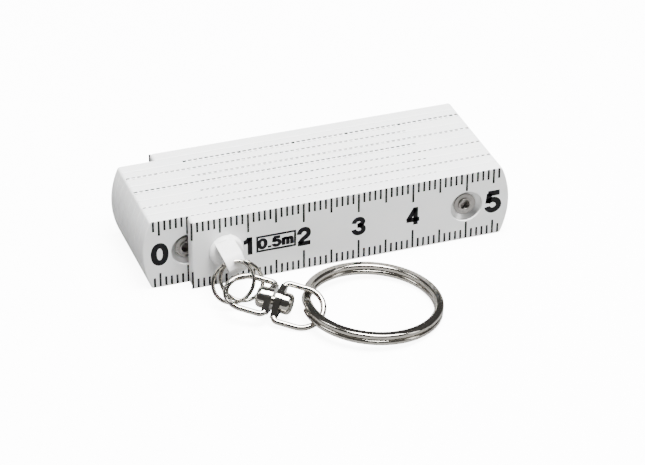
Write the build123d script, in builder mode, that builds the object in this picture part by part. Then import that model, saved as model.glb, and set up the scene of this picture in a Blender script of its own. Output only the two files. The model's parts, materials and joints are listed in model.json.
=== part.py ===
from build123d import *
from math import cos, pi, radians, sin
import os

os.makedirs("parts", exist_ok=True)

# Folding rule, 0.5 m long when open, folded up and standing on its long edge. Millimetres.
# Origin: middle of the edge the front blade stands on. +X along the blades, +Y to the rear, +Z up.

# ---- blades ----
blade_count = 10
rivet_pitch = 50.0          # from rivet to rivet: each blade measures 50 mm
blade_height = 13.2
blade_thickness = 2.42
blade_pitch = 2.5           # from one blade to the next, which leaves a 0.08 mm gap
end_overhang = 8.0          # from the rivet's axis to the tip of a rounded end
end_corner_overhang = 6.5   # from the rivet's axis to the corners of that end
corner_round = 0.6
edge_round = 0.25

half_pitch = rivet_pitch / 2
mid_height = blade_height / 2
front_y = -blade_thickness / 2

# ---- rivet joints ----
rivet_hole_radius = 1.35
rivet_shank_radius = 1.30
rivet_bore_radius = 0.85
rivet_bore_depth = 1.0      # below the rim: a semi-tubular rivet
recess_radius = 2.95        # round recess for the washer, in the front blade of each pair
recess_depth = 1.15
washer_radius = 2.9
washer_inner_radius = 2.05
washer_thickness = 0.25
washer_drop = 0.5           # the washer is dished inwards by this much
head_radius = 1.95
head_thickness = 0.3
head_rim_height = 0.3       # the rolled rim round the bore
head_rim_width = 0.35
head_rim_round = 0.16
flange_recess_radius = 2.6  # recess for the rivet's flat flange, in the rear blade of each pair
flange_recess_depth = 0.55
flange_radius = 2.5
flange_thickness = 0.45
flange_round = 0.12
flange_clearance = 0.05

# ---- detents that click at every quarter turn ----
groove_inner_radius = 3.7
groove_outer_radius = 5.1
groove_depth = 0.35
pocket_radius = 0.5
pocket_depth = 0.2
pip_radius = 0.35
pip_height = 0.36
pip_round = 0.12
pip_circle_radius = 4.4

# ---- key lug ----
lug_from_free_end = 6.0
lug_turn = 18.0             # degrees, the way the lug is left standing
lug_disc_radius = 3.05
lug_disc_thickness = 0.6
lug_dome_height = 0.45
lug_dome_taper = 12.0        # degrees
lug_dome_round = 0.4
lug_root_radius = 2.75      # half the nose's height where it leaves the disc
lug_hole_reach = 3.7        # from the blade's face to the axis of the lug's hole
lug_width = 3.25
lug_width_shift = 0.22      # the nose stands off centre by this much
lug_nose_radius = 2.3       # of its lower front
lug_edge_reach = 0.9        # the edge over its sloping front, ahead of the hole's axis
lug_edge_height = 2.1       # and above it
lug_hole_radius = 1.38
stem_radius = 1.45
stem_hole_radius = 1.5
snap_radius = 2.1
snap_recess_radius = 2.25
snap_recess_depth = 0.8
snap_thickness = 0.6
snap_clearance = 0.05
disc_gap = 0.05             # between the disc and the blade's face

# ---- small split ring ----
small_wire_radius = 0.33
small_ring_radius = 3.46    # to the middle of the wire
small_ring_turns = 2.05
points_per_turn = 10
small_ring_lean = 31.7      # degrees, its lower side away from the blade
small_ring_yaw = 2.3
nose_offset = 2.75          # the sprung first turn starts this far in front of the hole
hole_offset = 0.42          # the other turns pass the hole this far either side of its axis
turn_shift = 1.1            # the first turn bulges sideways by this much
turn_rise = 0.07            # and rises by this much
spring_ease = 0.6           # how gently the first turn leaves and joins: 0 is a plain helix

# ---- swivel ----
swivel_centre = (-14.54, -13.71, 3.16)
swivel_heading = 35.6       # degrees, from +X towards the viewer's side
swivel_dip = 8.3
eye_a_roll = 74.0
eye_b_roll = 58.5
eye_wire_radius = 0.5
eye_width = 7.3             # between the middles of the two arms
eye_arm = 4.0
eye_corner = 0.9
base_gap = 0.5
base_thickness = 1.1
base_middle_radius = 2.0
pin_radius = 0.8
pin_hole_radius = 0.86
pin_head_radius = 1.85
pin_head_length = 1.75
pin_head_round = 0.8
pin_play = 0.06

# ---- large split ring ----
large_ring_centre = (1.39, -18.04, 1.91)
large_ring_radius = 11.2    # to the middle of the wire
large_wire_width = 1.55
large_wire_height = 1.0
large_wire_round = 0.44
large_ring_tilt = 4.2       # degrees, raised where it lies on the swivel
large_ring_heading = 174.8  # towards the swivel
turn_gap = 0.05
ramp_angle = 26.0           # over which one turn climbs to the next


def face_plane(y):
    # Drawing plane across the blades, seen from the front: x to the right, y up, at this depth.
    return Plane.XZ.offset(-y)


def blade_front(number):
    return front_y + (number - 1) * blade_pitch


def hinge_x(number):
    # Odd hinges are at the right end, even hinges at the left.
    return half_pitch if number % 2 else -half_pitch


def make_blade(number):
    y_front = blade_front(number)
    y_rear = y_front + blade_thickness
    free_left_end = number in (1, blade_count)
    corner_x = half_pitch + end_corner_overhang
    tip_x = half_pitch + end_overhang
    with BuildPart() as blade:
        with BuildSketch(face_plane(y_rear)):
            with BuildLine():
                left_x = -half_pitch if free_left_end else -corner_x
                Line((left_x, 0), (corner_x, 0))
                ThreePointArc((corner_x, 0), (tip_x, mid_height), (corner_x, blade_height))
                Line((corner_x, blade_height), (left_x, blade_height))
                if free_left_end:
                    Line((left_x, blade_height), (left_x, 0))
                else:
                    ThreePointArc((left_x, blade_height), (-tip_x, mid_height), (left_x, 0))
            make_face()
        extrude(amount=blade_thickness)
        fillet(blade.edges().filter_by(Axis.Y), radius=corner_round)
        outer_faces = blade.faces().filter_by(Axis.Y)
        fillet(outer_faces.edges(), radius=edge_round)
        if number < blade_count:
            # This blade is the front one of its hinge: washer recess in front, pips behind.
            x = hinge_x(number)
            with BuildSketch(face_plane(y_front)):
                with Locations((x, mid_height)):
                    Circle(recess_radius)
            extrude(amount=-recess_depth, mode=Mode.SUBTRACT)
            with BuildSketch(face_plane(y_rear)):
                with Locations((x, mid_height)):
                    Circle(rivet_hole_radius)
            extrude(amount=blade_thickness, mode=Mode.SUBTRACT)
            with BuildSketch(face_plane(y_rear)):
                with Locations((x, mid_height)):
                    with PolarLocations(pip_circle_radius, 2):
                        Circle(pip_radius)
            extrude(amount=-pip_height)
            pip_ends = blade.faces().sort_by(Axis.Y)[-2:]
            fillet(pip_ends.edges(), radius=pip_round)
        if number > 1:
            # And the rear one of the hinge before: detent groove in front, flange recess behind.
            x = hinge_x(number - 1)
            with BuildSketch(face_plane(y_front)):
                with Locations((x, mid_height)):
                    Circle(groove_outer_radius)
                    Circle(groove_inner_radius, mode=Mode.SUBTRACT)
            extrude(amount=-groove_depth, mode=Mode.SUBTRACT)
            with BuildSketch(face_plane(y_front)):
                with Locations((x, mid_height)):
                    with PolarLocations(pip_circle_radius, 4):
                        Circle(pocket_radius)
            extrude(amount=-groove_depth - pocket_depth, mode=Mode.SUBTRACT)
            with BuildSketch(face_plane(y_rear)):
                with Locations((x, mid_height)):
                    Circle(flange_recess_radius)
            extrude(amount=flange_recess_depth, mode=Mode.SUBTRACT)
            with BuildSketch(face_plane(y_rear)):
                with Locations((x, mid_height)):
                    Circle(rivet_hole_radius)
            extrude(amount=blade_thickness, mode=Mode.SUBTRACT)
        if number == 1:
            # The key lug's stem hole, and the recess behind it for the stem's snap ring.
            with BuildSketch(face_plane(y_rear)):
                with Locations((-half_pitch + lug_from_free_end, mid_height)):
                    Circle(stem_hole_radius)
            extrude(amount=blade_thickness, mode=Mode.SUBTRACT)
            with BuildSketch(face_plane(y_rear)):
                with Locations((-half_pitch + lug_from_free_end, mid_height)):
                    Circle(snap_recess_radius)
            extrude(amount=snap_recess_depth, mode=Mode.SUBTRACT)
    return blade


for number in range(1, blade_count + 1):
    blade = make_blade(number)
    blade.part.label = f"blade_{number:02d}"
    export_step(blade.part, f"parts/blade_{number:02d}.step")


# Each rivet and washer is a half section, radius along X and depth along Y, revolved about its axis.
def make_rivet(number):
    x = hinge_x(number)
    floor_y = blade_front(number) + recess_depth
    seat_y = blade_front(number + 1) + blade_thickness - flange_recess_depth + flange_clearance
    rim_y = floor_y - head_thickness - head_rim_height
    with BuildPart() as rivet:
        with BuildSketch(Plane.XY.offset(mid_height)):
            with BuildLine():
                Polyline(
                    (x, rim_y + rivet_bore_depth),
                    (x + rivet_bore_radius, rim_y + rivet_bore_depth),
                    (x + rivet_bore_radius, rim_y),
                    (x + rivet_bore_radius + head_rim_width, rim_y),
                    (x + rivet_bore_radius + head_rim_width, floor_y - head_thickness),
                    (x + head_radius, floor_y - head_thickness),
                    (x + head_radius, floor_y),
                    (x + rivet_shank_radius, floor_y),
                    (x + rivet_shank_radius, seat_y),
                    (x + flange_radius, seat_y),
                    (x + flange_radius, seat_y + flange_thickness),
                    (x, seat_y + flange_thickness),
                    (x, rim_y + rivet_bore_depth),
                )
            make_face()
        revolve(axis=Axis((x, 0, mid_height), (0, 1, 0)))
        fillet(rivet.edges().group_by(Axis.Y)[0], radius=head_rim_round)
        fillet(rivet.edges().filter_by(GeomType.CIRCLE).group_by(Axis.Y)[-1], radius=flange_round)
    return rivet


def make_washer(number):
    x = hinge_x(number)
    rim_y = blade_front(number) + recess_depth - washer_drop - washer_thickness
    with BuildPart() as washer:
        with BuildSketch(Plane.XY.offset(mid_height)):
            with BuildLine():
                Polyline(
                    (x + washer_inner_radius, rim_y + washer_drop),
                    (x + washer_radius, rim_y),
                    (x + washer_radius, rim_y + washer_thickness),
                    (x + washer_inner_radius, rim_y + washer_drop + washer_thickness),
                    (x + washer_inner_radius, rim_y + washer_drop),
                )
            make_face()
        revolve(axis=Axis((x, 0, mid_height), (0, 1, 0)))
    return washer


for number in range(1, blade_count):
    rivet = make_rivet(number)
    rivet.part.label = f"hinge_rivet_{number}"
    export_step(rivet.part, f"parts/hinge_rivet_{number}.step")
    washer = make_washer(number)
    washer.part.label = f"spring_washer_{number}"
    export_step(washer.part, f"parts/spring_washer_{number}.step")


# Key lug: a domed disc, a flattened nose with a cross hole, and a stem that snaps into the front blade.
lug_centre = Vector(-half_pitch + lug_from_free_end, front_y, mid_height)
across = Vector(cos(radians(lug_turn)), 0, sin(radians(lug_turn)))
hole_centre = lug_centre + Vector(0, -lug_hole_reach, 0)
lug_plane = Plane(origin=lug_centre, x_dir=across, z_dir=(0, -1, 0))
side_plane = Plane(origin=lug_centre, x_dir=(0, -1, 0), z_dir=across)
nose_plane = side_plane.offset(lug_width_shift - lug_width / 2)
snap_y = blade_thickness - snap_recess_depth + snap_clearance

with BuildPart() as key_lug:
    with BuildSketch(lug_plane.offset(disc_gap)):
        Circle(lug_disc_radius)
    extrude(amount=lug_disc_thickness + lug_dome_height, taper=lug_dome_taper)
    fillet(key_lug.faces().sort_by(Axis.Y)[0].edges(), radius=lug_dome_round)
    with BuildSketch(nose_plane):
        with BuildLine():
            Line((disc_gap, -lug_root_radius), (lug_hole_reach, -lug_nose_radius))
            RadiusArc(
                (lug_hole_reach, -lug_nose_radius),
                (lug_hole_reach + lug_nose_radius, 0),
                -lug_nose_radius,
            )
            nose_edge = (lug_hole_reach + lug_edge_reach, lug_edge_height)
            Line((lug_hole_reach + lug_nose_radius, 0), nose_edge)
            Line(nose_edge, (disc_gap, lug_root_radius))
            Line((disc_gap, lug_root_radius), (disc_gap, -lug_root_radius))
        make_face()
    extrude(amount=lug_width)
    with BuildSketch(lug_plane.offset(disc_gap)):
        Circle(stem_radius)
    extrude(amount=-snap_y - disc_gap)
    with BuildSketch(lug_plane.offset(-snap_y)):
        Circle(snap_radius)
    extrude(amount=-snap_thickness)
    with BuildSketch(nose_plane):
        with Locations((lug_hole_reach, 0)):
            Circle(lug_hole_radius)
    extrude(amount=lug_width, mode=Mode.SUBTRACT)
key_lug.part.label = "key_lug"
export_step(key_lug.part, "parts/key_lug.step")


# Small split ring: two turns of round wire. The first turn starts in front of the lug's nose and
# springs back into the hole; the second lies a wire's width behind it.
def small_ring_point(turn):
    lean, yaw = radians(small_ring_lean), radians(small_ring_yaw)
    down = Vector(sin(yaw), -cos(yaw) * sin(lean), -cos(yaw) * cos(lean))
    side = (across - down * across.dot(down)).normalized()
    normal = down.cross(side).normalized()
    if turn < 1:
        eased = turn - spring_ease * sin(2 * pi * turn) / (2 * pi)
        offset = nose_offset + (hole_offset - nose_offset) * eased
    else:
        offset = hole_offset - 2 * hole_offset * (turn - 1)
    angle = 2 * pi * turn
    shift = (-down * turn_rise - side * turn_shift) * sin(pi * turn)
    middle = hole_centre + down * small_ring_radius + normal * offset + shift
    return middle + (side * sin(angle) - down * cos(angle)) * small_ring_radius


point_count = round(small_ring_turns * points_per_turn)
small_ring_points = [
    small_ring_point(small_ring_turns * step / point_count) for step in range(point_count + 1)
]
with BuildPart() as small_ring:
    with BuildLine() as small_ring_path:
        Spline(*small_ring_points)
    with BuildSketch(Plane(origin=small_ring_path.line @ 0, z_dir=small_ring_path.line % 0)):
        Circle(small_wire_radius)
    sweep(path=small_ring_path.line, is_frenet=False)
small_ring.part.label = "small_split_ring"
export_step(small_ring.part, "parts/small_split_ring.step")


# Swivel: both eyes are drawn with the spin axis along X, then turned into place.
swivel_location = (
    Location(swivel_centre) * Rotation(0, 0, -swivel_heading) * Rotation(0, swivel_dip, 0)
)


def make_eye():
    # An eye that reaches along +X from its base, flat in the XZ plane.
    base_x = base_gap / 2 + base_thickness / 2
    half_width = eye_width / 2
    with BuildPart() as eye:
        with BuildLine(Plane.XZ) as loop:
            FilletPolyline(
                (base_x, half_width - 2 * eye_corner),
                (base_x, half_width),
                (base_x + eye_arm, half_width),
                radius=eye_corner,
            )
            ThreePointArc(
                (base_x + eye_arm, half_width),
                (base_x + eye_arm + half_width, 0),
                (base_x + eye_arm, -half_width),
            )
            FilletPolyline(
                (base_x + eye_arm, -half_width),
                (base_x, -half_width),
                (base_x, -half_width + 2 * eye_corner),
                radius=eye_corner,
            )
        with BuildSketch(Plane(origin=(base_x, 0, half_width - 2 * eye_corner))):
            Circle(eye_wire_radius)
        sweep(path=loop.wires()[0])
        with BuildSketch(Plane.YZ.offset(base_gap / 2)):
            with Locations((0, -half_width + eye_corner), (0, half_width - eye_corner)):
                Circle(base_thickness / 2)
            Circle(base_middle_radius)
            make_hull()
        extrude(amount=base_thickness)
        with BuildSketch(Plane.YZ.offset(base_gap / 2)):
            Circle(pin_hole_radius)
        extrude(amount=base_thickness, mode=Mode.SUBTRACT)
    return eye.part


eye_a = make_eye().moved(swivel_location * Rotation(-eye_a_roll, 0, 0) * Rotation(0, 180, 0))
eye_a.label = "swivel_eye_a"
export_step(eye_a, "parts/swivel_eye_a.step")
eye_b = make_eye().moved(swivel_location * Rotation(-eye_b_roll, 0, 0))
eye_b.label = "swivel_eye_b"
export_step(eye_b, "parts/swivel_eye_b.step")

plate_inside = base_gap / 2 + base_thickness
with BuildPart() as pin:
    with BuildSketch(Plane.YZ.offset(-plate_inside)):
        Circle(pin_radius)
    extrude(amount=2 * plate_inside + pin_play)
    with BuildSketch(Plane.YZ.offset(plate_inside + pin_play)):
        Circle(pin_head_radius)
    extrude(amount=pin_head_length)
    with BuildSketch(Plane.YZ.offset(-plate_inside)):
        Circle(pin_head_radius)
    extrude(amount=-pin_head_length)
    head_rims = pin.edges().filter_by(GeomType.CIRCLE).group_by(Axis.X)
    fillet(head_rims[0] + head_rims[-1], radius=pin_head_round)
swivel_pin = pin.part.moved(swivel_location)
swivel_pin.label = "swivel_pin"
export_step(swivel_pin, "parts/swivel_pin.step")


# Large split ring: a lower and an upper turn, joined by a short ramp, drawn flat about the origin.
level = (large_wire_height + turn_gap) / 2


def wire_section(angle, height):
    # The flattened wire's section, across the ring at this angle.
    outward = (cos(radians(angle)), sin(radians(angle)), 0)
    along = (-sin(radians(angle)), cos(radians(angle)), 0)
    middle = Vector(*outward) * large_ring_radius + Vector(0, 0, height)
    return Plane(origin=middle, x_dir=outward, z_dir=along)


turn_angle = 360 - ramp_angle
with BuildPart() as large_ring_turns:
    for height in (-level, level):
        with BuildSketch(wire_section(0, height)):
            RectangleRounded(large_wire_width, large_wire_height, large_wire_round)
        revolve(axis=Axis.Z, revolution_arc=turn_angle)
    for step in range(3):
        share = step / 2
        with BuildSketch(wire_section(turn_angle + share * ramp_angle, (2 * share - 1) * level)):
            RectangleRounded(large_wire_width, large_wire_height, large_wire_round)
    loft()
large_ring = large_ring_turns.part.moved(
    Location(large_ring_centre) * Rotation(0, 0, large_ring_heading) * Rotation(0, -large_ring_tilt, 0)
)
large_ring.label = "large_split_ring"
export_step(large_ring, "parts/large_split_ring.step")
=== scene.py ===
import json
from math import cos, pi, radians, sin

import bmesh
import bpy
from mathutils import Matrix, Vector
from mathutils.geometry import interpolate_bezier


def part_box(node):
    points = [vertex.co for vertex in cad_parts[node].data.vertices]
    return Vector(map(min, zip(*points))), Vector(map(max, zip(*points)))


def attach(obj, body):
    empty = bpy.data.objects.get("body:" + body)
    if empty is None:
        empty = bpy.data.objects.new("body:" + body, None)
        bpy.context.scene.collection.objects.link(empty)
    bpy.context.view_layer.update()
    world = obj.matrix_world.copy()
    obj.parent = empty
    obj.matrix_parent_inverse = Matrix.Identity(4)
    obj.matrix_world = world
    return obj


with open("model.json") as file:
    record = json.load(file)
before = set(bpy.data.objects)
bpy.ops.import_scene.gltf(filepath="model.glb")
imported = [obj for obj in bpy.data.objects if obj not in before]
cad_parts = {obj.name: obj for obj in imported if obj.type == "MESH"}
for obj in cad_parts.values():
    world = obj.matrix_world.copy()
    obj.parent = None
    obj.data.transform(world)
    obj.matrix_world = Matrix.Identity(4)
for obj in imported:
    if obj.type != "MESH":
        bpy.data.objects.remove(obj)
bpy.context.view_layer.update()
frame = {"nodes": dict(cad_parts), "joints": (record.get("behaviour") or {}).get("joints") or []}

MM = 0.001  # the script works in metres; sizes below are millimetres unless they say otherwise

# ---------------------------------------------------------------- the rule
joints = {joint["name"]: joint for joint in frame["joints"]}
BLADE_COUNT = sum(name.startswith("blade_") for name in frame["nodes"])
PITCH = 50  # from one rivet to the next, and so the length of scale on each blade
CENTIMETRE = 10
HINGE_X = joints["hinge_1"]["pos_m"][0] / MM
RIVET_Z = joints["hinge_1"]["pos_m"][2] / MM
EDGE_ROUND = 0.25
END_MARKS = 6  # marks past the last rivet, up to the corner of the rounded end
HIDDEN = 5  # each blade stays unprinted this far from a rivet where its neighbour covers it

# ---------------------------------------------------------------- the printed scale
MARK_WIDTH = 0.38
SHORT_MARK, MIDDLE_MARK, LONG_MARK, RIVET_MARK = 2.0, 2.9, 3.8, 3.5
EDGE_SPREAD = 0.7  # how much wider a mark gets where its ink goes over the edge
INK_LIFT = 0.012  # a pad-printed film stands this far proud of the plastic
NUMBER_HEIGHT = 3.45
JOINT_NUMBER_HEIGHT = 4.2
NUMBER_OFFSET = 5.0  # numbers at a rivet stand this far either side of it
LENGTH_MARK = "0.5m"
LENGTH_BOX = (11.4, 18.6)
LENGTH_BOX_HEIGHT = 3.2
LENGTH_BOX_LINE = 0.38
LENGTH_TEXT_HEIGHT = 2.0
LENGTH_TEXT_STRETCH = 1.15
LENGTH_TEXT_PEN = 0.29  # as a share of its height, where the numbers have PEN


# ---------------------------------------------------------------- materials
NOISE_LOW, NOISE_HIGH = 0.3, 0.7  # noise keeps mostly within these
MIX_FIRST, MIX_SECOND, MIX_RESULT = 6, 7, 2  # the colour sockets of a Mix node


def linear(hex_colour):
    """An sRGB hex colour as the linear RGBA that a shader socket wants."""
    values = [int(hex_colour[i : i + 2], 16) / 255 for i in (1, 3, 5)]
    return [v / 12.92 if v <= 0.04045 else ((v + 0.055) / 1.055) ** 2.4 for v in values] + [1.0]


def add_node(tree, kind, settings=None, inputs=None):
    """Adds one node. Settings are its properties; inputs are values or the sockets to link from."""
    node = tree.nodes.new(kind)
    for name, value in (settings or {}).items():
        setattr(node, name, value)
    for name, value in (inputs or {}).items():
        if isinstance(value, bpy.types.NodeSocket):
            tree.links.new(value, node.inputs[name])
        else:
            node.inputs[name].default_value = value
    return node


def empty_material(name):
    material = bpy.data.materials.new(name)
    material.use_nodes = True
    material.node_tree.nodes.clear()
    return material, material.node_tree


def per_metre(size_mm):
    """The noise scale whose blotches are about this many millimetres across."""
    return 1 / (size_mm * MM)


def noise_to(low, high):
    """The limits of a Map Range node that takes noise to low and high."""
    return {"From Min": NOISE_LOW, "From Max": NOISE_HIGH, "To Min": low, "To Max": high}


def moulded_abs():
    # Injection-moulded white ABS: an even satin white. The steel mould leaves a grain of about
    # 0.2 mm, and the wall sinks and swells slightly over a centimetre or so.
    material, tree = empty_material("moulded_white_abs")
    place = add_node(tree, "ShaderNodeTexCoord").outputs["Object"]
    grain = add_node(
        tree,
        "ShaderNodeTexNoise",
        inputs={"Vector": place, "Scale": per_metre(0.2), "Detail": 3.0},
    ).outputs["Fac"]
    swell = add_node(
        tree,
        "ShaderNodeTexNoise",
        inputs={"Vector": place, "Scale": per_metre(9.0), "Detail": 1.0},
    ).outputs["Fac"]
    cloud = add_node(
        tree,
        "ShaderNodeTexNoise",
        inputs={"Vector": place, "Scale": per_metre(5.0), "Detail": 2.0},
    ).outputs["Fac"]
    shade = add_node(tree, "ShaderNodeMapRange", inputs={"Value": cloud, **noise_to(0.0, 1.0)})
    colour = add_node(
        tree,
        "ShaderNodeMix",
        {"data_type": "RGBA"},
        {
            "Factor": shade.outputs["Result"],
            MIX_FIRST: linear("#F0F0EF"),
            MIX_SECOND: linear("#ECEDED"),
        },
    )
    satin = add_node(tree, "ShaderNodeMapRange", inputs={"Value": grain, **noise_to(0.36, 0.48)})
    fine = add_node(
        tree, "ShaderNodeBump", inputs={"Height": grain, "Distance": 0.004 * MM, "Strength": 1.0}
    )
    broad = add_node(
        tree,
        "ShaderNodeBump",
        inputs={
            "Height": swell,
            "Distance": 0.12 * MM,
            "Strength": 1.0,
            "Normal": fine.outputs["Normal"],
        },
    )
    shader = add_node(
        tree,
        "ShaderNodeBsdfPrincipled",
        inputs={
            "Base Color": colour.outputs[MIX_RESULT],
            "Roughness": satin.outputs["Result"],
            "IOR": 1.54,
            "Subsurface Weight": 0.06,
            "Subsurface Radius": (0.6 * MM, 0.5 * MM, 0.4 * MM),
            "Subsurface Scale": 1.0,
            "Normal": broad.outputs["Normal"],
        },
    )
    add_node(tree, "ShaderNodeOutputMaterial", inputs={"Surface": shader.outputs["BSDF"]})
    return material


def moulded_acetal():
    # Moulded white acetal, the slippery plastic of small turning parts: whiter and glossier
    # than the blades, with light passing a little way in.
    material, tree = empty_material("moulded_white_acetal")
    place = add_node(tree, "ShaderNodeTexCoord").outputs["Object"]
    grain = add_node(
        tree,
        "ShaderNodeTexNoise",
        inputs={"Vector": place, "Scale": per_metre(0.35), "Detail": 2.0},
    ).outputs["Fac"]
    cloud = add_node(
        tree,
        "ShaderNodeTexNoise",
        inputs={"Vector": place, "Scale": per_metre(2.0), "Detail": 2.0},
    ).outputs["Fac"]
    shade = add_node(tree, "ShaderNodeMapRange", inputs={"Value": cloud, **noise_to(0.0, 1.0)})
    colour = add_node(
        tree,
        "ShaderNodeMix",
        {"data_type": "RGBA"},
        {
            "Factor": shade.outputs["Result"],
            MIX_FIRST: linear("#F8F8F7"),
            MIX_SECOND: linear("#F2F2F1"),
        },
    )
    gloss = add_node(tree, "ShaderNodeMapRange", inputs={"Value": grain, **noise_to(0.24, 0.34)})
    fine = add_node(
        tree, "ShaderNodeBump", inputs={"Height": grain, "Distance": 0.006 * MM, "Strength": 1.0}
    )
    shader = add_node(
        tree,
        "ShaderNodeBsdfPrincipled",
        inputs={
            "Base Color": colour.outputs[MIX_RESULT],
            "Roughness": gloss.outputs["Result"],
            "IOR": 1.48,
            "Subsurface Weight": 0.05,
            "Subsurface Radius": (0.9 * MM, 0.8 * MM, 0.7 * MM),
            "Subsurface Scale": 1.0,
            "Normal": fine.outputs["Normal"],
        },
    )
    add_node(tree, "ShaderNodeOutputMaterial", inputs={"Surface": shader.outputs["BSDF"]})
    return material


def printed_ink():
    # Pad-printed black ink: a thin film, satin, a shade greyer where less ink came off the pad.
    material, tree = empty_material("pad_printed_black_ink")
    place = add_node(tree, "ShaderNodeTexCoord").outputs["Object"]
    patch = add_node(
        tree,
        "ShaderNodeTexNoise",
        inputs={"Vector": place, "Scale": per_metre(0.9), "Detail": 3.0},
    ).outputs["Fac"]
    speck = add_node(
        tree,
        "ShaderNodeTexNoise",
        inputs={"Vector": place, "Scale": per_metre(0.15), "Detail": 2.0},
    ).outputs["Fac"]
    shade = add_node(tree, "ShaderNodeMapRange", inputs={"Value": patch, **noise_to(0.0, 1.0)})
    colour = add_node(
        tree,
        "ShaderNodeMix",
        {"data_type": "RGBA"},
        {
            "Factor": shade.outputs["Result"],
            MIX_FIRST: linear("#060607"),
            MIX_SECOND: linear("#101012"),
        },
    )
    satin = add_node(tree, "ShaderNodeMapRange", inputs={"Value": patch, **noise_to(0.4, 0.58)})
    fine = add_node(
        tree, "ShaderNodeBump", inputs={"Height": speck, "Distance": 0.003 * MM, "Strength": 1.0}
    )
    shader = add_node(
        tree,
        "ShaderNodeBsdfPrincipled",
        inputs={
            "Base Color": colour.outputs[MIX_RESULT],
            "Roughness": satin.outputs["Result"],
            "IOR": 1.4,
            "Specular IOR Level": 0.25,
            "Normal": fine.outputs["Normal"],
        },
    )
    add_node(tree, "ShaderNodeOutputMaterial", inputs={"Surface": shader.outputs["BSDF"]})
    return material


def nickel(name, light, dark, smooth, rough, stretch, scratch_mm, depth_mm):
    """A nickel-plated metal. Its fine marks run along the axis that stretch makes long."""
    material, tree = empty_material(name)
    place = add_node(tree, "ShaderNodeTexCoord").outputs["Object"]
    along = add_node(tree, "ShaderNodeMapping", inputs={"Vector": place, "Scale": stretch})
    marks = add_node(
        tree,
        "ShaderNodeTexNoise",
        inputs={
            "Vector": along.outputs["Vector"],
            "Scale": per_metre(scratch_mm),
            "Detail": 4.0,
        },
    ).outputs["Fac"]
    haze = add_node(
        tree,
        "ShaderNodeTexNoise",
        inputs={"Vector": place, "Scale": per_metre(1.6), "Detail": 3.0},
    ).outputs["Fac"]
    shade = add_node(tree, "ShaderNodeMapRange", inputs={"Value": haze, **noise_to(0.0, 1.0)})
    colour = add_node(
        tree,
        "ShaderNodeMix",
        {"data_type": "RGBA"},
        {
            "Factor": shade.outputs["Result"],
            MIX_FIRST: linear(light),
            MIX_SECOND: linear(dark),
        },
    )
    gloss = add_node(
        tree, "ShaderNodeMapRange", inputs={"Value": haze, **noise_to(smooth, rough)}
    )
    fine = add_node(
        tree,
        "ShaderNodeBump",
        inputs={"Height": marks, "Distance": depth_mm * MM, "Strength": 1.0},
    )
    shader = add_node(
        tree,
        "ShaderNodeBsdfPrincipled",
        inputs={
            "Base Color": colour.outputs[MIX_RESULT],
            "Metallic": 1.0,
            "Roughness": gloss.outputs["Result"],
            "Normal": fine.outputs["Normal"],
        },
    )
    add_node(tree, "ShaderNodeOutputMaterial", inputs={"Surface": shader.outputs["BSDF"]})
    return material


BLADE_ABS = moulded_abs()
LUG_ACETAL = moulded_acetal()
INK = printed_ink()
# Pressed washers and turned rivets are dull nickel, with tool marks a few tenths of a millimetre long.
# The rivets are coloured darker than the washers, partly as painted shade for the bottom of the recess
# they sit in.
RIVET_NICKEL = nickel(
    "turned_nickel_rivet", "#A8A5A1", "#96938F", 0.24, 0.34, (1, 0.3, 1), 0.3, 0.003
)
WASHER_NICKEL = nickel(
    "pressed_nickel_washer", "#D4D4D3", "#C6C6C5", 0.3, 0.38, (1, 1, 1), 0.5, 0.003
)
# Drawn wire and stampings, tumbled bright before plating: a near-mirror with faint haze.
WIRE_NICKEL = nickel(
    "bright_nickel_wire", "#BDB9B1", "#ABA79F", 0.08, 0.15, (0.4, 0.4, 1), 0.5, 0.0012
)
SWIVEL_NICKEL = nickel(
    "bright_nickel_stamping", "#B9B5AD", "#A8A49C", 0.08, 0.16, (1, 1, 1), 0.5, 0.0015
)


def finish_of(node):
    if node.startswith("blade_"):
        return BLADE_ABS
    if node.startswith("hinge_rivet_"):
        return RIVET_NICKEL
    if node.startswith("spring_washer_"):
        return WASHER_NICKEL
    if node.startswith("swivel_"):
        return SWIVEL_NICKEL
    return LUG_ACETAL if node == "key_lug" else WIRE_NICKEL


for name, node in frame["nodes"].items():
    for material_slot in node.material_slots:
        material_slot.material = finish_of(name)


# ---------------------------------------------------------------- marks by Geometry Nodes
# The tree's sizes, in metres but for the last two.
MARK_SIZES = {
    "Mark spacing": MM,
    "Mark width": MARK_WIDTH * MM,
    "Short mark": SHORT_MARK * MM,
    "Middle mark": MIDDLE_MARK * MM,
    "Long mark": LONG_MARK * MM,
    "Rivet mark": RIVET_MARK * MM,
    "Edge round": EDGE_ROUND * MM,
    "Ink lift": INK_LIFT * MM,
    "Edge spread": EDGE_SPREAD,
    "Marks to a rivet": float(PITCH),
}
STRIP_ROWS = 9  # rows of points along one mark, enough to round the edge


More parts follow.
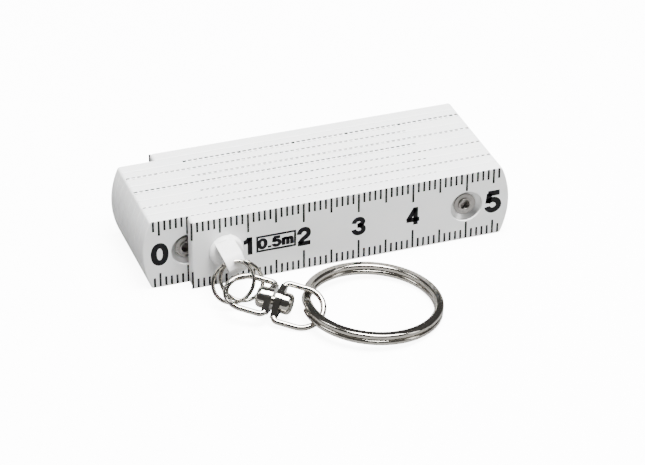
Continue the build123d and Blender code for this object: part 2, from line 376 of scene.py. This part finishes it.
def mark_tree():
    """Draws a row of scale marks on one long edge of one face, wrapped over the edge rounding."""
    tree = bpy.data.node_groups.new("scale_marks", "GeometryNodeTree")
    socket = tree.interface.new_socket
    socket("Geometry", in_out="INPUT", socket_type="NodeSocketGeometry")
    for name in ("First mark", "Count"):
        socket(name, in_out="INPUT", socket_type="NodeSocketInt")
    for name in ("Zero x", "Direction", "Face y", "Side", "Edge z", "Inward", "Wrap"):
        socket(name, in_out="INPUT", socket_type="NodeSocketFloat")
    for name, size in MARK_SIZES.items():
        socket(name, in_out="INPUT", socket_type="NodeSocketFloat").default_value = size
    socket("Ink", in_out="INPUT", socket_type="NodeSocketMaterial")
    socket("Geometry", in_out="OUTPUT", socket_type="NodeSocketGeometry")
    given = add_node(tree, "NodeGroupInput").outputs

    # One point for each mark, which keeps that mark's length and where its middle is.
    row = add_node(tree, "GeometryNodeMeshLine", inputs={"Count": given["Count"]})
    index = add_node(tree, "GeometryNodeInputIndex").outputs[0]
    mark = add_node(
        tree, "ShaderNodeMath", {"operation": "ADD"}, {0: index, 1: given["First mark"]}
    ).outputs[0]
    length = given["Short mark"]
    for every, name in (
        (5.0, "Middle mark"),
        (10.0, "Long mark"),
        (given["Marks to a rivet"], "Rivet mark"),
    ):
        left_over = add_node(
            tree, "ShaderNodeMath", {"operation": "FLOORED_MODULO"}, {0: mark, 1: every}
        )
        divides = add_node(
            tree, "ShaderNodeMath", {"operation": "LESS_THAN"}, {0: left_over.outputs[0], 1: 0.5}
        )
        length = add_node(
            tree,
            "GeometryNodeSwitch",
            {"input_type": "FLOAT"},
            {"Switch": divides.outputs[0], "True": given[name], "False": length},
        ).outputs[0]
    far = add_node(
        tree, "ShaderNodeMath", {"operation": "MULTIPLY"}, {0: mark, 1: given["Mark spacing"]}
    )
    centre = add_node(
        tree,
        "ShaderNodeMath",
        {"operation": "MULTIPLY_ADD"},
        {0: far.outputs[0], 1: given["Direction"], 2: given["Zero x"]},
    )
    kept = add_node(tree, "GeometryNodeCaptureAttribute", {"domain": "POINT"})
    kept.capture_items.new("FLOAT", "length")
    kept.capture_items.new("FLOAT", "centre")
    tree.links.new(row.outputs["Mesh"], kept.inputs["Geometry"])
    tree.links.new(length, kept.inputs["length"])
    tree.links.new(centre.outputs[0], kept.inputs["centre"])
    strip = add_node(
        tree,
        "GeometryNodeMeshGrid",
        inputs={
            "Size X": given["Mark width"],
            "Size Y": 1.0,
            "Vertices X": 2,
            "Vertices Y": STRIP_ROWS,
        },
    )
    copies = add_node(
        tree,
        "GeometryNodeInstanceOnPoints",
        inputs={"Points": kept.outputs["Geometry"], "Instance": strip.outputs["Mesh"]},
    )
    real = add_node(
        tree, "GeometryNodeRealizeInstances", inputs={"Geometry": copies.outputs["Instances"]}
    )

    # Each strip runs from the rounding onto the flat of the face. Its rows are closest together
    # where it bends. A line below is a result's name, a sum, and the names or numbers it takes.
    position = add_node(tree, "GeometryNodeInputPosition").outputs[0]
    here = add_node(tree, "ShaderNodeSeparateXYZ", inputs={"Vector": position}).outputs
    found = dict(given.items())
    found["across"], found["along"] = here["X"], here["Y"]
    found["length"], found["centre"] = kept.outputs["length"], kept.outputs["centre"]
    for name, operation, *terms in (
        ("from end", "ADD", "along", 0.5),
        ("share", "MULTIPLY", "from end", "from end"),
        ("flat length", "SUBTRACT", "length", "Edge round"),
        ("whole length", "ADD", "flat length", "Wrap"),
        ("distance", "MULTIPLY", "share", "whole length"),
        ("onto face", "SUBTRACT", "distance", "Wrap"),
        ("onto edge", "MULTIPLY", "onto face", -1.0),
        ("over", "MAXIMUM", "onto edge", 0.0),
        # Round the edge as far as a quarter turn, then straight on.
        ("quarter", "MULTIPLY", "Edge round", pi / 2),
        ("on round", "MINIMUM", "over", "quarter"),
        ("angle", "DIVIDE", "on round", "Edge round"),
        ("beyond", "SUBTRACT", "over", "quarter"),
        ("past", "MAXIMUM", "beyond", 0.0),
        ("radius", "ADD", "Edge round", "Ink lift"),
        ("cosine", "COSINE", "angle"),
        ("forward", "MULTIPLY", "cosine", "radius"),
        ("proud", "SUBTRACT", "forward", "Edge round"),
        ("outward", "SUBTRACT", "proud", "past"),
        ("sine", "SINE", "angle"),
        ("lower", "MULTIPLY", "sine", "radius"),
        ("edge height", "SUBTRACT", "Edge round", "lower"),
        ("face height", "MAXIMUM", "onto face", 0.0),
        ("height", "ADD", "edge height", "face height"),
        # A mark widens as it bends over the edge, so the rows of marks along the seams between blades
        # look darker.
        ("bent", "DIVIDE", "on round", "quarter"),
        ("extra width", "MULTIPLY", "bent", "Edge spread"),
        ("widening", "ADD", "extra width", 1.0),
        ("sideways", "MULTIPLY", "across", "widening"),
        ("X", "ADD", "sideways", "centre"),
        ("off face", "MULTIPLY", "outward", "Side"),
        ("Y", "ADD", "Face y", "off face"),
        ("up face", "MULTIPLY", "height", "Inward"),
        ("Z", "ADD", "Edge z", "up face"),
        # Two of the four edges come out facing the plastic, and are turned over.
        ("facing", "MULTIPLY", "Side", "Inward"),
        ("turn over", "GREATER_THAN", "facing", 0.0),
    ):
        values = {place: found.get(term, term) for place, term in enumerate(terms)}
        found[name] = add_node(
            tree, "ShaderNodeMath", {"operation": operation}, values
        ).outputs[0]
    target = add_node(
        tree, "ShaderNodeCombineXYZ", inputs={axis: found[axis] for axis in ("X", "Y", "Z")}
    )
    laid = add_node(
        tree,
        "GeometryNodeSetPosition",
        inputs={"Geometry": real.outputs["Geometry"], "Position": target.outputs["Vector"]},
    )
    turned = add_node(
        tree,
        "GeometryNodeFlipFaces",
        inputs={"Mesh": laid.outputs["Geometry"], "Selection": found["turn over"]},
    )
    inked = add_node(
        tree,
        "GeometryNodeSetMaterial",
        inputs={"Geometry": turned.outputs["Mesh"], "Material": given["Ink"]},
    )
    add_node(tree, "NodeGroupOutput", inputs={"Geometry": inked.outputs["Geometry"]})
    return tree


MARKS = mark_tree()


def draw_marks(target, settings):
    """Adds one row of marks to the bmesh of a blade's print."""
    carrier = bpy.data.objects.new("marks", bpy.data.meshes.new("marks"))
    bpy.context.scene.collection.objects.link(carrier)
    modifier = carrier.modifiers.new("marks", "NODES")
    modifier.node_group = MARKS
    values = {**MARK_SIZES, **settings}
    for item in MARKS.interface.items_tree:
        if item.in_out == "INPUT" and item.name in values:
            modifier[item.identifier] = values[item.name]
    evaluated = carrier.evaluated_get(bpy.context.evaluated_depsgraph_get())
    mesh = bpy.data.meshes.new_from_object(evaluated)
    carrier.modifiers.remove(modifier)
    target.from_mesh(mesh)
    bpy.data.meshes.remove(mesh)
    bpy.data.objects.remove(carrier)


# ---------------------------------------------------------------- numbers
# Each figure is drawn with a broad pen in a box 1 high and 0.7 wide: its strokes are Bezier
# curves, given as corners with the pull on each side of them.
PEN = 0.25
FIGURE_WIDTH = 0.7
CURVE_STEPS = 10
OVAL_PULL = 0.6  # 0.55 would draw a true ellipse


def curve(*corners):
    """A smooth line through (x, y, pull x, pull y): the pull is the handle ahead, mirrored behind."""
    points = []
    for (x, y, px, py), (nx, ny, npx, npy) in zip(corners, corners[1:]):
        steps = interpolate_bezier(
            (x, y, 0), (x + px, y + py, 0), (nx - npx, ny - npy, 0), (nx, ny, 0), CURVE_STEPS
        )
        points += [step.xy for step in (steps if not points else steps[1:])]
    return points


def line(*corners):
    return [Vector(corner) for corner in corners]


def loop(x, y, wide, high):
    """A closed oval, a little squarer than an ellipse."""
    pull_x, pull_y = wide * OVAL_PULL, high * OVAL_PULL
    return curve(
        (x, y + high, pull_x, 0),
        (x + wide, y, 0, -pull_y),
        (x, y - high, -pull_x, 0),
        (x - wide, y, 0, pull_y),
        (x, y + high, pull_x, 0),
    )


def six():
    spine = curve(
        (0.585, 0.73, 0, 0.09),
        (0.37, 0.905, -0.17, 0),
        (0.1, 0.45, 0, -0.12),
        (0.1, 0.33, 0, -0.05),
    )
    return [spine, loop(0.355, 0.32, 0.255, 0.225)]


def half_turned(strokes):
    return [[Vector((FIGURE_WIDTH - p[0], 1 - p[1])) for p in stroke] for stroke in strokes]


FIGURES = {
    "0": [loop(0.35, 0.5, 0.25, 0.405)],
    "1": [
        line((0.41, 0), (0.41, 1)),
        curve((0.08, 0.74, 0.1, 0), (0.3, 0.83, 0.06, 0.06), (0.38, 0.98, 0.02, 0.05)),
    ],
    "2": [
        curve(
            (0.1, 0.63, 0, 0.13),
            (0.355, 0.905, 0.14, 0),
            (0.595, 0.68, 0, -0.17),
            (0.32, 0.36, -0.1, -0.08),
            (0.12, 0.1, -0.05, -0.09),
        ),
        line((0.03, 0.09), (0.69, 0.09)),
    ],
    "3": [
        curve(
            (0.1, 0.68, 0, 0.12),
            (0.34, 0.905, 0.13, 0),
            (0.575, 0.72, 0, -0.12),
            (0.28, 0.535, -0.1, 0),
        ),
        curve(
            (0.28, 0.535, 0.2, 0),
            (0.605, 0.3, 0, -0.13),
            (0.345, 0.095, -0.15, 0),
            (0.09, 0.33, 0, 0.1),
        ),
    ],
    "4": [
        line((0.5, 0), (0.5, 1)),
        line((0.01, 0.29), (0.7, 0.29)),
        line((0.08, 0.27), (0.48, 0.93)),
    ],
    "5": [
        line((0.12, 0.91), (0.64, 0.91)),
        line((0.19, 0.91), (0.13, 0.45)),
        curve(
            (0.12, 0.49, 0.05, 0.06),
            (0.34, 0.6, 0.15, 0),
            (0.605, 0.34, 0, -0.14),
            (0.33, 0.095, -0.14, 0),
            (0.09, 0.29, 0, 0.06),
        ),
    ],
    "6": six(),
    "7": [
        line((0.04, 0.91), (0.68, 0.91)),
        curve((0.6, 0.88, -0.12, -0.14), (0.36, 0.42, -0.05, -0.15), (0.28, 0, 0, -0.1)),
    ],
    "8": [loop(0.35, 0.715, 0.21, 0.19), loop(0.35, 0.3, 0.25, 0.205)],
    "9": half_turned(six()),
    ".": [line((0.1, 0), (0.1, 0.2))],
    "m": [
        line((0.1, 0), (0.1, 0.74)),
        curve((0.1, 0.5, 0.02, 0.12), (0.29, 0.65, 0.12, 0), (0.43, 0.47, 0, -0.1), (0.43, 0, 0, -0.1)),
        curve((0.43, 0.5, 0.02, 0.12), (0.62, 0.65, 0.12, 0), (0.76, 0.47, 0, -0.1), (0.76, 0, 0, -0.1)),
    ],
}
# How far the pen moves on after a figure.
ADVANCE = {"1": 0.66, ".": 0.3, "m": 0.95}
USUAL_ADVANCE = 0.8
MITRE_LIMIT = 0.5  # a corner's mitre never makes the stroke more than twice as wide


def draw_stroke(target, points, pen, placing):
    """Lays one pen stroke as a strip of quads, mitred at its corners."""
    closed = (points[0] - points[-1]).length < pen / 10
    if closed:
        points = points[:-1]
    count = len(points)
    sides = []
    for i, point in enumerate(points):
        before = points[i - 1] if closed or i else None
        after = points[(i + 1) % count] if closed or i < count - 1 else None
        ways = [
            (b - a).normalized()
            for a, b in ((before, point), (point, after))
            if a is not None and b is not None
        ]
        way = sum(ways, Vector((0, 0))).normalized()
        across = Vector((-way.y, way.x)) * pen / 2 / max(way.dot(ways[0]), MITRE_LIMIT)
        sides.append(
            [target.verts.new(placing @ Vector((*(point + across * k), 0))) for k in (1, -1)]
        )
    for i in range(count if closed else count - 1):
        (left, right), (next_left, next_right) = sides[i], sides[(i + 1) % count]
        target.faces.new((right, next_right, next_left, left))


def write(target, text, centre, height, to_face, stretch=1.0, pen=PEN):
    """Puts type on a face, centred; to_face takes the drawing plane to that face."""
    width = sum(ADVANCE.get(letter, USUAL_ADVANCE) for letter in text[:-1])
    width += ADVANCE.get(text[-1], FIGURE_WIDTH)
    x = -width / 2
    for letter in text:
        placing = (
            to_face
            @ Matrix.Translation((centre[0] * MM, (centre[1] - height / 2) * MM, 0))
            @ Matrix.Diagonal((height * stretch * MM, height * MM, 1, 1))
            @ Matrix.Translation((x, 0, 0))
        )
        for points in FIGURES[letter]:
            draw_stroke(target, points, pen, placing)
        x += ADVANCE.get(letter, USUAL_ADVANCE)


def draw_frame(target, low, high, thick, to_face):
    """A rectangular outline."""
    inner_low = (low[0] + thick, low[1] + thick)
    inner_high = (high[0] - thick, high[1] - thick)
    rings = []
    for a, b in ((low, high), (inner_low, inner_high)):
        corners = ((a[0], a[1]), (b[0], a[1]), (b[0], b[1]), (a[0], b[1]))
        rings.append([target.verts.new(to_face @ Vector((x * MM, y * MM, 0))) for x, y in corners])
    for i in range(4):
        j = (i + 1) % 4
        target.faces.new((rings[0][i], rings[0][j], rings[1][j], rings[1][i]))


# How far each face's marks run over the edge, in millimetres. The pad reaches further on some.
FRONT_WRAP = (0.2, 0.2, 0.36, 0.24, 0.3, 0.72, 0.45, 0.6, 0.78, 0.05)
REAR_WRAP = (0.05, 0.05, 0.05, 0.05, 0.1, 0.05, 0.1, 0.1, 0.05, 0.2)


def face_frame(number, front):
    """The matrix from a face's own plane (x from the blade's first rivet, y up as it reads)."""
    y = face_y(number, front)
    turn = 1 if number % 2 else -1  # folded up, every second blade lies upside down
    right = Vector((turn, 0, 0))
    up = Vector((0, 0, turn if front else -turn))
    out = right.cross(up)
    matrix = Matrix((right, up, out)).transposed().to_4x4()
    lift = INK_LIFT * (-1 if front else 1)
    matrix.translation = Vector((-turn * HINGE_X, y + lift, RIVET_Z)) * MM
    return matrix


def face_y(number, front):
    """The depth of a blade's face. The pips behind a blade stand proud, so the pitch gives it."""
    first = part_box("blade_01")[0][1] / MM
    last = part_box(f"blade_{BLADE_COUNT:02d}")
    thickness = (last[1][1] - last[0][1]) / MM
    pitch = (last[0][1] / MM - first) / (BLADE_COUNT - 1)
    return first + (number - 1) * pitch + (0 if front else thickness)


def draw_face(target, number, front):
    odd = number % 2
    if front:
        first = 0 if number == 1 else HIDDEN
        last = PITCH - 1 if number == BLADE_COUNT else PITCH + END_MARKS
    else:
        first = 0 if number == 1 else -END_MARKS
        last = PITCH if number == BLADE_COUNT else PITCH - HIDDEN
    wrap = (FRONT_WRAP if front else REAR_WRAP)[number - 1]
    for edge, inward in ((0.0, 1.0), (2 * RIVET_Z, -1.0)):
        draw_marks(
            target,
            {
                "First mark": first,
                "Count": last - first + 1,
                "Zero x": (-HINGE_X if odd else HINGE_X) * MM,
                "Direction": 1.0 if odd else -1.0,
                "Face y": face_y(number, front) * MM,
                "Side": -1.0 if front else 1.0,
                "Edge z": edge * MM,
                "Inward": inward,
                "Wrap": wrap * MM,
                "Ink": INK,
            },
        )
    to_face = face_frame(number, front)
    start = (number - 1) * PITCH // CENTIMETRE
    for step in range(1, PITCH // CENTIMETRE):
        write(target, str(start + step), (CENTIMETRE * step, 0), NUMBER_HEIGHT, to_face)
    # The number at a rivet is split round it, one digit either side.
    rivet = PITCH if front else 0
    digits = str(start + (PITCH // CENTIMETRE if front else 0))
    shown = number < BLADE_COUNT if front else number > 1
    if shown:
        write(target, digits[-1], (rivet + NUMBER_OFFSET, 0), JOINT_NUMBER_HEIGHT, to_face)
        if len(digits) > 1:
            write(target, digits[0], (rivet - NUMBER_OFFSET, 0), JOINT_NUMBER_HEIGHT, to_face)
    if front and number == 1:
        half = LENGTH_BOX_HEIGHT / 2
        draw_frame(
            target, (LENGTH_BOX[0], -half), (LENGTH_BOX[1], half), LENGTH_BOX_LINE, to_face
        )
        write(
            target,
            LENGTH_MARK,
            (sum(LENGTH_BOX) / 2, 0),
            LENGTH_TEXT_HEIGHT,
            to_face,
            LENGTH_TEXT_STRETCH,
            LENGTH_TEXT_PEN,
        )


for number in range(1, BLADE_COUNT + 1):
    print_mesh = bmesh.new()
    for front in (True, False):
        draw_face(print_mesh, number, front)
    mesh = bpy.data.meshes.new(f"scale_print_{number:02d}")
    print_mesh.to_mesh(mesh)
    print_mesh.free()
    mesh.materials.append(INK)
    for polygon in mesh.polygons:
        polygon.material_index = 0
    scale_print = bpy.data.objects.new(mesh.name, mesh)
    bpy.context.scene.collection.objects.link(scale_print)
    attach(scale_print, f"blade_{number:02d}_body")


# ---------------------------------------------------------------- stage, light and camera
FLOOR_REACH = 3.0  # metres each way
FLOOR_DROP = 0.05  # the rule's lower edges stay this far off the paper
SWEEP_GREY = "#7C7C7C"  # what the rule gets back from the paper
SWEEP_WHITE = "#F4F4F4"
SWEEP_GLOW = 9.0
# Each softbox: azimuth and elevation in degrees, distance, width and height in metres, and watts.
SOFTBOXES = {
    "overhead_softbox": (40, 80, 0.6, 0.4, 0.4, 22.0),
    "left_softbox": (-105, 50, 0.6, 0.12, 0.3, 0.9),
    "right_softbox": (50, 22, 0.7, 0.15, 0.4, 1.0),
}
FILL_STRENGTH = 0.1
AIM = Vector((-1.5, -0.87, 6.42)) * MM
CAMERA_AZIMUTH, CAMERA_ELEVATION = -19.421, 31.302  # degrees
CAMERA_DISTANCE = 468.0 * MM
LENS_LENGTH, SENSOR_WIDTH = 152.0, 36.0  # millimetres
NEAREST_SEEN = 0.01  # metres


def paper_sweep():
    # A white paper sweep lit by lamps of its own: bright to look at, while what it throws back
    # onto the rule stays that of light grey paper.
    material, tree = empty_material("white_paper_sweep")
    looked_at = add_node(tree, "ShaderNodeLightPath").outputs["Is Camera Ray"]
    grey = add_node(tree, "ShaderNodeBsdfDiffuse", inputs={"Color": linear(SWEEP_GREY)})
    white = add_node(tree, "ShaderNodeBsdfDiffuse", inputs={"Color": linear(SWEEP_WHITE)})
    glow = add_node(
        tree, "ShaderNodeEmission", inputs={"Color": linear("#FFFFFF"), "Strength": SWEEP_GLOW}
    )
    lit = add_node(tree, "ShaderNodeAddShader", inputs={0: white.outputs[0], 1: glow.outputs[0]})
    seen = add_node(
        tree,
        "ShaderNodeMixShader",
        inputs={"Fac": looked_at, 1: grey.outputs[0], 2: lit.outputs[0]},
    )
    add_node(tree, "ShaderNodeOutputMaterial", inputs={"Surface": seen.outputs[0]})
    return material


floor_mesh = bpy.data.meshes.new("floor")
floor_mesh.from_pydata(
    [
        (x * FLOOR_REACH, y * FLOOR_REACH, -FLOOR_DROP * MM)
        for x, y in ((-1, -1), (1, -1), (1, 1), (-1, 1))
    ],
    [],
    [(0, 1, 2, 3)],
)
floor_mesh.materials.append(paper_sweep())
floor = bpy.data.objects.new("floor", floor_mesh)
bpy.context.scene.collection.objects.link(floor)


def outward(azimuth, elevation):
    """From the rule towards this direction. Azimuth 0 is straight in front of it, 90 to its right."""
    a, e = radians(azimuth), radians(elevation)
    return Vector((sin(a) * cos(e), -cos(a) * cos(e), sin(e)))


for name, (azimuth, elevation, distance, width, height, watts) in SOFTBOXES.items():
    away = outward(azimuth, elevation)
    light = bpy.data.lights.new(name, "AREA")
    light.shape = "RECTANGLE"
    light.size, light.size_y = width, height
    light.energy = watts
    lamp = bpy.data.objects.new(name, light)
    lamp.location = AIM + away * distance
    lamp.rotation_euler = away.to_track_quat("Z", "Y").to_euler()
    bpy.context.scene.collection.objects.link(lamp)

world = bpy.data.worlds.new("studio")
world.use_nodes = True
world.node_tree.nodes.clear()
fill = add_node(
    world.node_tree,
    "ShaderNodeBackground",
    inputs={"Color": linear("#FFFFFF"), "Strength": FILL_STRENGTH},
)
add_node(world.node_tree, "ShaderNodeOutputWorld", inputs={"Surface": fill.outputs["Background"]})
bpy.context.scene.world = world

back = outward(CAMERA_AZIMUTH, CAMERA_ELEVATION)
right = Vector((0, 0, 1)).cross(back).normalized()
up = back.cross(right)
lens = bpy.data.cameras.new("camera")
lens.lens = LENS_LENGTH
lens.sensor_width = SENSOR_WIDTH
lens.clip_start = NEAREST_SEEN
camera = bpy.data.objects.new("camera", lens)
placing = Matrix((right, up, back)).transposed().to_4x4()
placing.translation = AIM + back * CAMERA_DISTANCE
camera.matrix_world = placing
bpy.context.scene.collection.objects.link(camera)
bpy.context.scene.camera = camera
